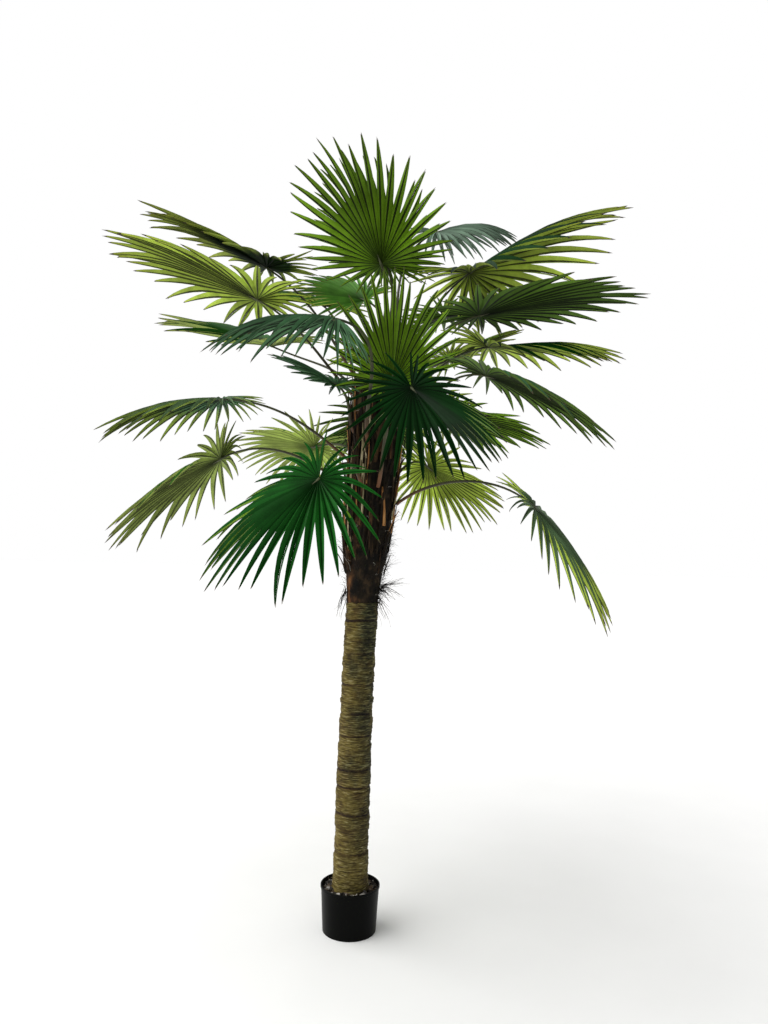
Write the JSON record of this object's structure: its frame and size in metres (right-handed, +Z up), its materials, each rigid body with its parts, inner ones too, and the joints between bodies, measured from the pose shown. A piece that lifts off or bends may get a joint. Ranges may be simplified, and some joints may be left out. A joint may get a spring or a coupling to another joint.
{
  "type": "potted fan palm",
  "caption": "Artificial fan palm in a round black pot: slim leaning trunk, fibrous crown sleeve and pleated fan fronds on arching stems.",
  "frame": {"origin": "centre of the pot's flat underside", "axes": "+Z up through the pot and crown, -Y the front of the plant, +X to its right seen from the front"},
  "size_m": [2.0361, 1.7681, 2.8968],
  "materials": {
    "pot": "satin black moulded plastic",
    "fill": "dark set filling with dry chips on top",
    "trunk": "olive-brown bark with fine level ridges",
    "husk": "dark brown fibre with tan strips",
    "stem": "dark olive, satin",
    "leaf": "pleated green leaf, satin top, paler underside"
  },
  "bodies": {
    "root": {"pot": "pot", "fill": "fill", "trunk": "trunk", "husk": "husk", "stem_01": "stem", "blade_01": "leaf", "stem_02": "stem", "blade_02": "leaf", "stem_03": "stem", "blade_03": "leaf", "stem_04": "stem", "blade_04": "leaf", "stem_05": "stem", "blade_05": "leaf", "stem_06": "stem", "blade_06": "leaf", "stem_07": "stem", "blade_07": "leaf", "stem_08": "stem", "blade_08": "leaf", "stem_09": "stem", "blade_09": "leaf", "stem_10": "stem", "blade_10": "leaf", "stem_11": "stem", "blade_11": "leaf", "stem_12": "stem", "blade_12": "leaf", "stem_13": "stem", "blade_13": "leaf", "stem_14": "stem", "blade_14": "leaf", "stem_15": "stem", "blade_15": "leaf", "stem_16": "stem", "blade_16": "leaf", "stem_17": "stem", "blade_17": "leaf", "stem_18": "stem", "blade_18": "leaf", "stem_19": "stem", "blade_19": "leaf", "stem_20": "stem", "blade_20": "leaf", "stem_21": "stem", "blade_21": "leaf", "stem_22": "stem", "blade_22": "leaf", "stem_23": "stem", "blade_23": "leaf", "stem_24": "stem", "blade_24": "leaf", "stem_25": "stem", "blade_25": "leaf", "stem_26": "stem", "blade_26": "leaf", "stem_27": "stem", "blade_27": "leaf", "stem_28": "stem", "blade_28": "leaf"}
  },
  "joints": []
}
